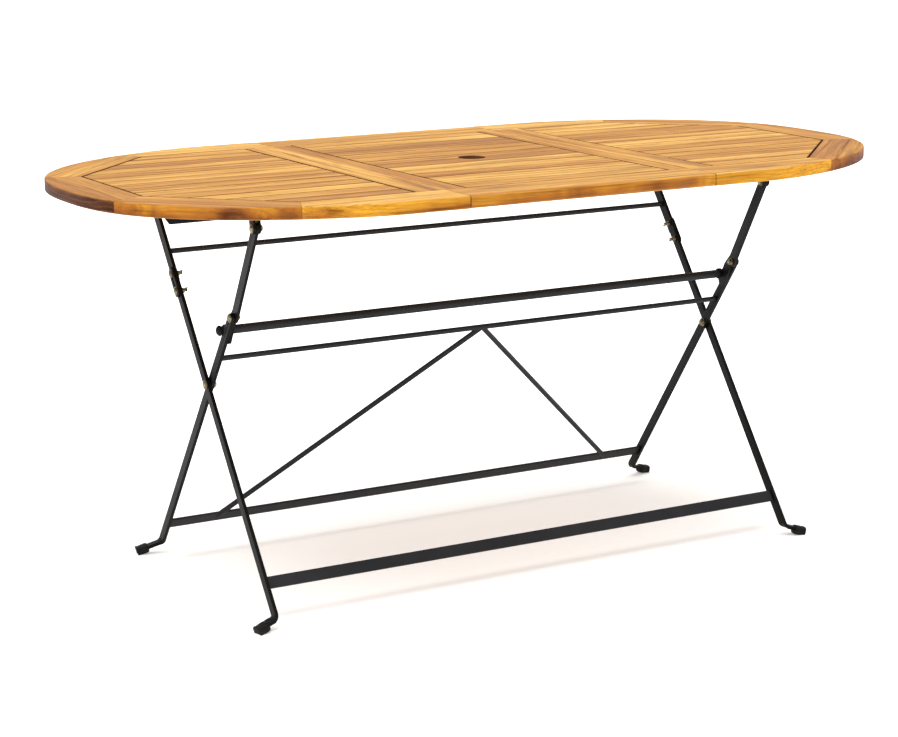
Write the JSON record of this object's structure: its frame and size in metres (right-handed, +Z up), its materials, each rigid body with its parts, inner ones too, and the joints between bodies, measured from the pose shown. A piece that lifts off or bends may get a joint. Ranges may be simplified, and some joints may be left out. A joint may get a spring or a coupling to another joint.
{
  "type": "folding table",
  "caption": "Oval slatted wooden table on two crossed flat-bar leg frames that scissor shut while the top tips down beside them; parasol hole in the middle.",
  "frame": {"origin": "on the floor, under the parasol hole at the middle of the top", "axes": "+X along the table's length, -Y its front (the side of the toggle links), +Z up"},
  "size_m": [1.6, 0.85, 0.75],
  "materials": {
    "acacia": "oiled, open grain",
    "acacia_light": "oiled, pale sapwood",
    "acacia_dark": "oiled, pinkish brown heartwood",
    "painted_steel": "satin powder coat",
    "zinc": "yellowish zinc plate",
    "black_plastic": "moulded"
  },
  "bodies": {
    "outer_leg_frame": {"outer_leg_left": "painted_steel", "outer_leg_right": "painted_steel", "outer_upper_left": "painted_steel", "outer_upper_right": "painted_steel", "splice_plate_left": "painted_steel", "splice_plate_right": "painted_steel", "splice_bolts": "zinc", "splice_wing_nuts": "zinc", "front_foot_rail": "painted_steel", "top_rod": "painted_steel", "front_foot_caps": "black_plastic", "rear_pivot_pins": "zinc", "crossing_bolts": "zinc", "crossing_nuts": "zinc"},
    "inner_leg_frame": {"inner_leg_left": "painted_steel", "inner_leg_right": "painted_steel", "rear_foot_rail": "painted_steel", "mid_rod": "painted_steel", "brace_left": "painted_steel", "brace_right": "painted_steel", "rear_foot_caps": "black_plastic"},
    "toggle_links": {"link_left": "painted_steel", "link_right": "painted_steel", "pull_bar": "painted_steel", "pull_bar_plugs": "black_plastic", "knee_bolts": "zinc", "knee_nuts": "zinc"},
    "table_top": {"left_slats": "acacia", "centre_slats": "acacia", "right_slats": "acacia", "left_tip_rail": "acacia_dark", "right_tip_rail": "acacia_dark", "left_rear_corner": "acacia_light", "left_front_corner": "acacia", "right_rear_corner": "acacia", "right_front_corner": "acacia_dark", "left_rear_rail": "acacia", "left_front_rail": "acacia_light", "right_rear_rail": "acacia", "right_front_rail": "acacia_light", "left_stile": "acacia_light", "right_stile": "acacia_light", "centre_left_stile": "acacia_dark", "centre_right_stile": "acacia", "centre_rear_rail": "acacia", "centre_front_rail": "acacia_dark", "front_under_rail": "painted_steel", "rear_under_rail": "painted_steel", "front_brackets": "painted_steel", "rear_brackets": "painted_steel", "rail_screws": "zinc", "bracket_bolts": "zinc", "bracket_nuts": "zinc", "rear_pivot_bolts": "zinc", "rear_pivot_nuts": "zinc"}
  },
  "joints": [
    {"name": "leg_fold", "type": "hinge", "parent": "outer_leg_frame", "child": "inner_leg_frame", "pos_m": [0, 0.002, 0.38], "axis": [-1, 0, 0], "range_deg": [0, 64.69]},
    {"name": "knee_fold", "type": "hinge", "parent": "inner_leg_frame", "child": "toggle_links", "pos_m": [0, -0.09563, 0.5175], "axis": [1, 0, 0], "range_deg": [0, 172.21]},
    {"name": "top_fold", "type": "hinge", "parent": "toggle_links", "child": "table_top", "pos_m": [0, -0.19, 0.687], "axis": [-1, 0, 0], "range_deg": [0, 62.26]}
  ],
  "couplings": [
    {"joint": "knee_fold", "follows": "leg_fold", "ratio": 2.662},
    {"joint": "top_fold", "follows": "leg_fold", "ratio": 0.96228}
  ]
}
